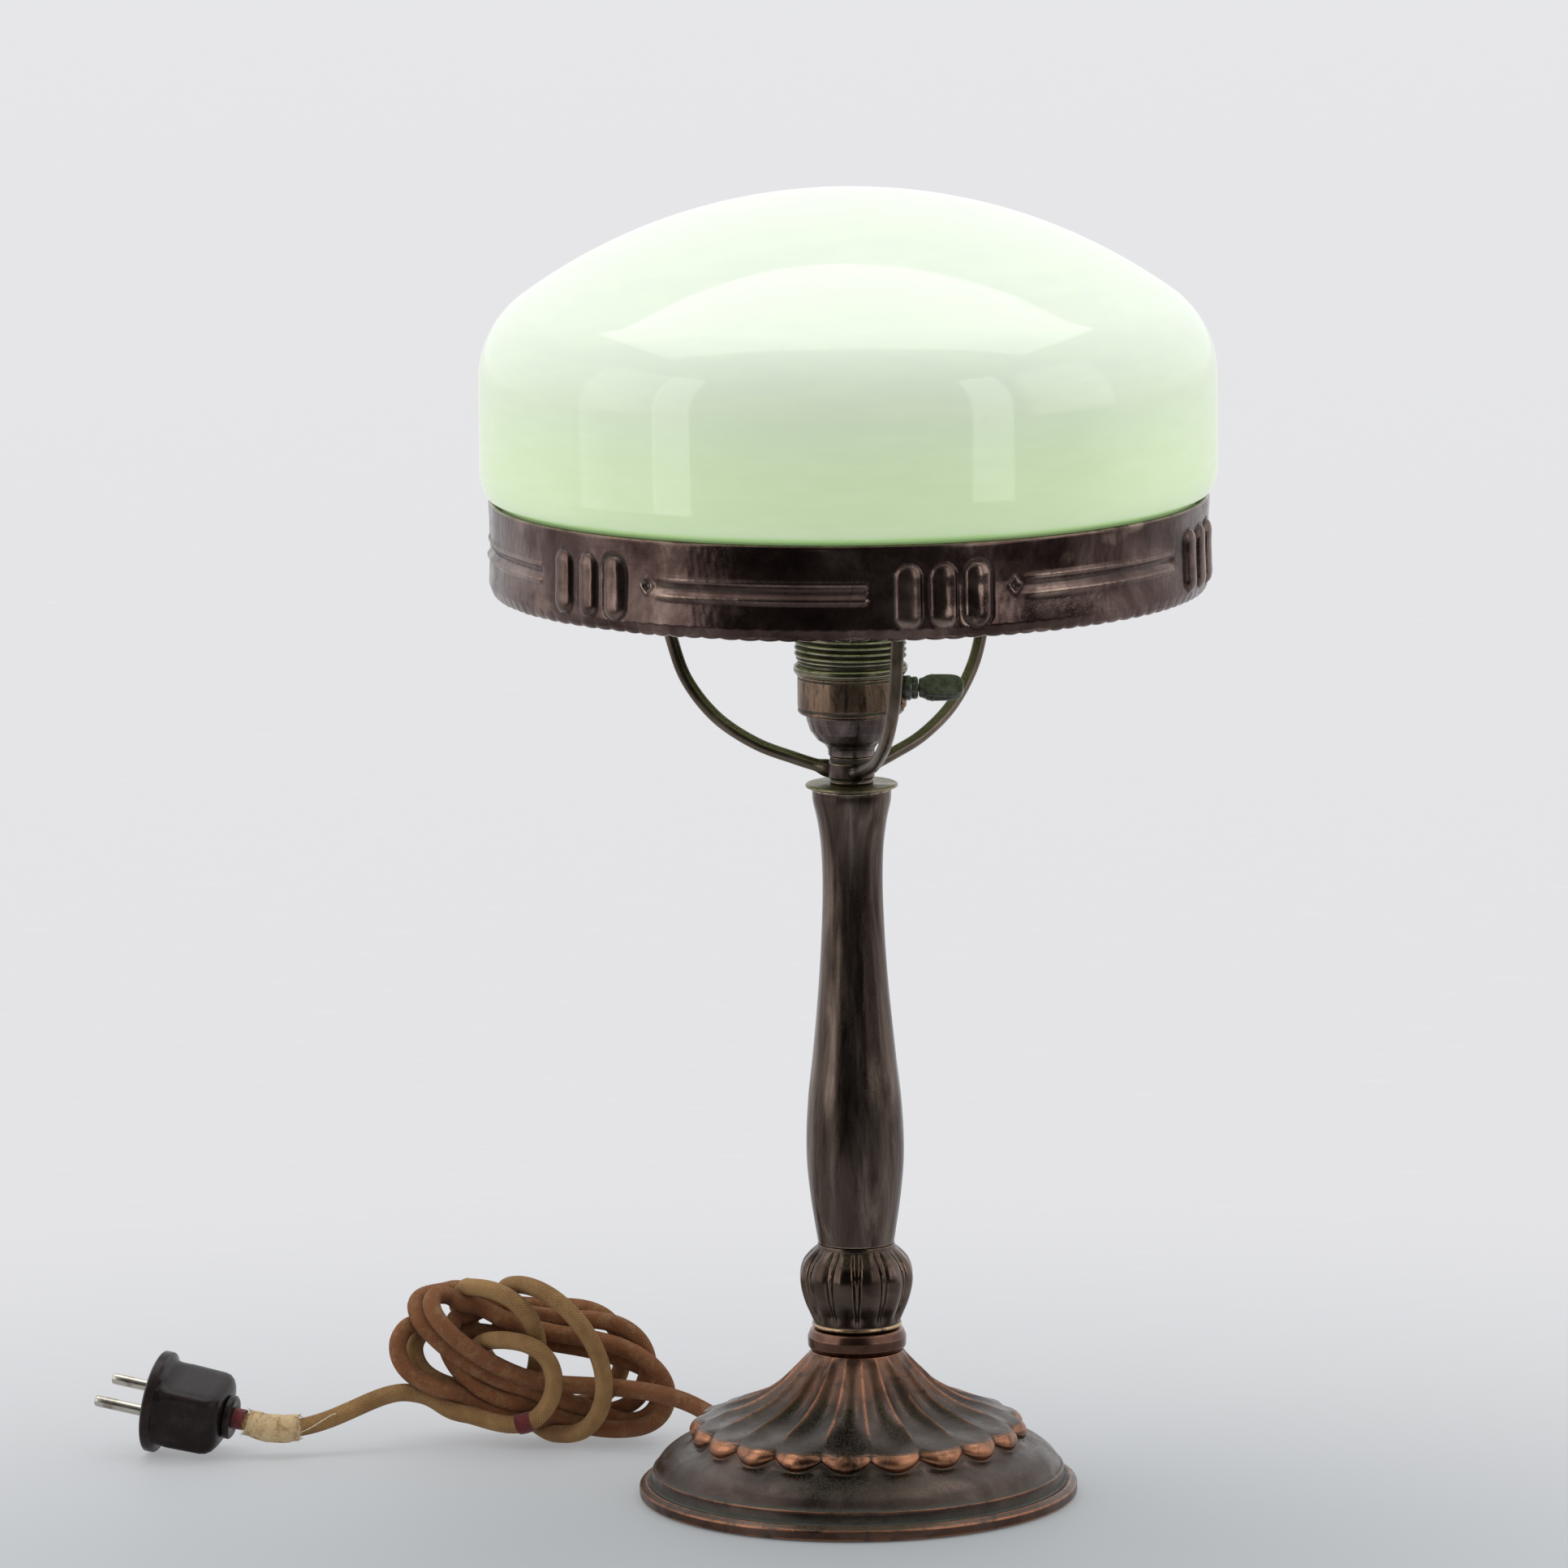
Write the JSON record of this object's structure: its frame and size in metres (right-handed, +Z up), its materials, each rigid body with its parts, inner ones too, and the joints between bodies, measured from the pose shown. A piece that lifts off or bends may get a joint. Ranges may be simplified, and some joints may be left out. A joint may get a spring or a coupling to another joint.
{
  "type": "table lamp",
  "caption": "Table lamp: fluted metal foot and turned column, bowed arms and gallery ring holding a domed opal glass shade, lampholder with turn key, and a hanked cord with plug.",
  "frame": {"origin": "the lamp's own axis at the underside of the foot, on the table", "axes": "+Z up along the column, +X along the switch key, +Y towards the back; the cord lies on the -X side"},
  "size_m": [0.3931, 0.251, 0.452],
  "materials": {
    "bronze": "dark bronzed brass, worn to copper on high edges",
    "patina": "olive brown patina on brass",
    "plain_brass": "plain turned brass",
    "nickel": "nickel plate",
    "iron": "raw cast iron",
    "opal_glass": "polished pale green opal glass",
    "clear_glass": "clear blown glass",
    "porcelain": "white glaze",
    "bakelite": "dark brown moulded bakelite",
    "black_rubber": "matt black",
    "green_felt": "pressed felt",
    "textile": "braided brown textile over rubber",
    "cloth_tape": "worn cotton tape",
    "red_thread": "red thread whipping"
  },
  "bodies": {
    "lamp": {"arm_front": "patina", "arm_hub": "patina", "arm_left": "patina", "arm_right": "patina", "base_felt": "green_felt", "base_plate": "plain_brass", "base_shell": "bronze", "base_weight": "iron", "bead_ring": "bronze", "bottom_nut": "plain_brass", "bottom_washer": "plain_brass", "central_rod": "plain_brass", "centre_contact": "plain_brass", "cord_bushing": "black_rubber", "cord_hank": "textile", "cord_lead": "textile", "cord_tail": "textile", "cord_tape": "cloth_tape", "cord_whipping": "red_thread", "gallery_band": "bronze", "gallery_ledge": "bronze", "holder_body": "patina", "holder_cap": "patina", "holder_ring": "patina", "holder_skirt": "patina", "inner_lead": "textile", "key_bushing": "patina", "knop": "bronze", "ledge_screw_front": "plain_brass", "ledge_screw_left": "plain_brass", "ledge_screw_right": "plain_brass", "plug_body": "bakelite", "plug_collar": "bakelite", "plug_insert": "bakelite", "plug_pin_far": "nickel", "plug_pin_near": "nickel", "plug_screw": "plain_brass", "porcelain_block": "porcelain", "screw_shell": "plain_brass", "stem_disc": "plain_brass", "stem_tube": "bronze", "terminal_screw_1": "plain_brass", "terminal_screw_2": "plain_brass"},
    "shade": {"shade_glass": "opal_glass"},
    "switch": {"switch_cam": "plain_brass", "switch_spindle": "plain_brass", "switch_key": "patina", "key_pin": "plain_brass"},
    "bulb_tip": {"bulb_contact": "nickel"},
    "bulb": {"bulb_cap": "plain_brass", "bulb_insulator": "bakelite", "bulb_glass": "clear_glass", "bulb_mount": "clear_glass", "filament": "nickel"}
  },
  "joints": [
    {"name": "shade_lift", "type": "slide", "parent": "lamp", "child": "shade", "axis": [0, 0, 1], "range_m": [0, 0.13]},
    {"name": "key_turn", "type": "hinge", "parent": "lamp", "child": "switch", "pos_m": [0.02, 0, 0.281], "axis": [1, 0, 0], "continuous": true},
    {"name": "bulb_rise", "type": "slide", "parent": "lamp", "child": "bulb_tip", "axis": [0, 0, 1], "range_m": [0, 0.0128]},
    {"name": "bulb_turn", "type": "hinge", "parent": "bulb_tip", "child": "bulb", "pos_m": [0, 0, 0.29], "axis": [0, 0, 1], "range_deg": [0, 1260]}
  ],
  "couplings": [
    {"joint": "bulb_rise", "follows": "bulb_turn", "m_per_rad": 0.00057757}
  ]
}
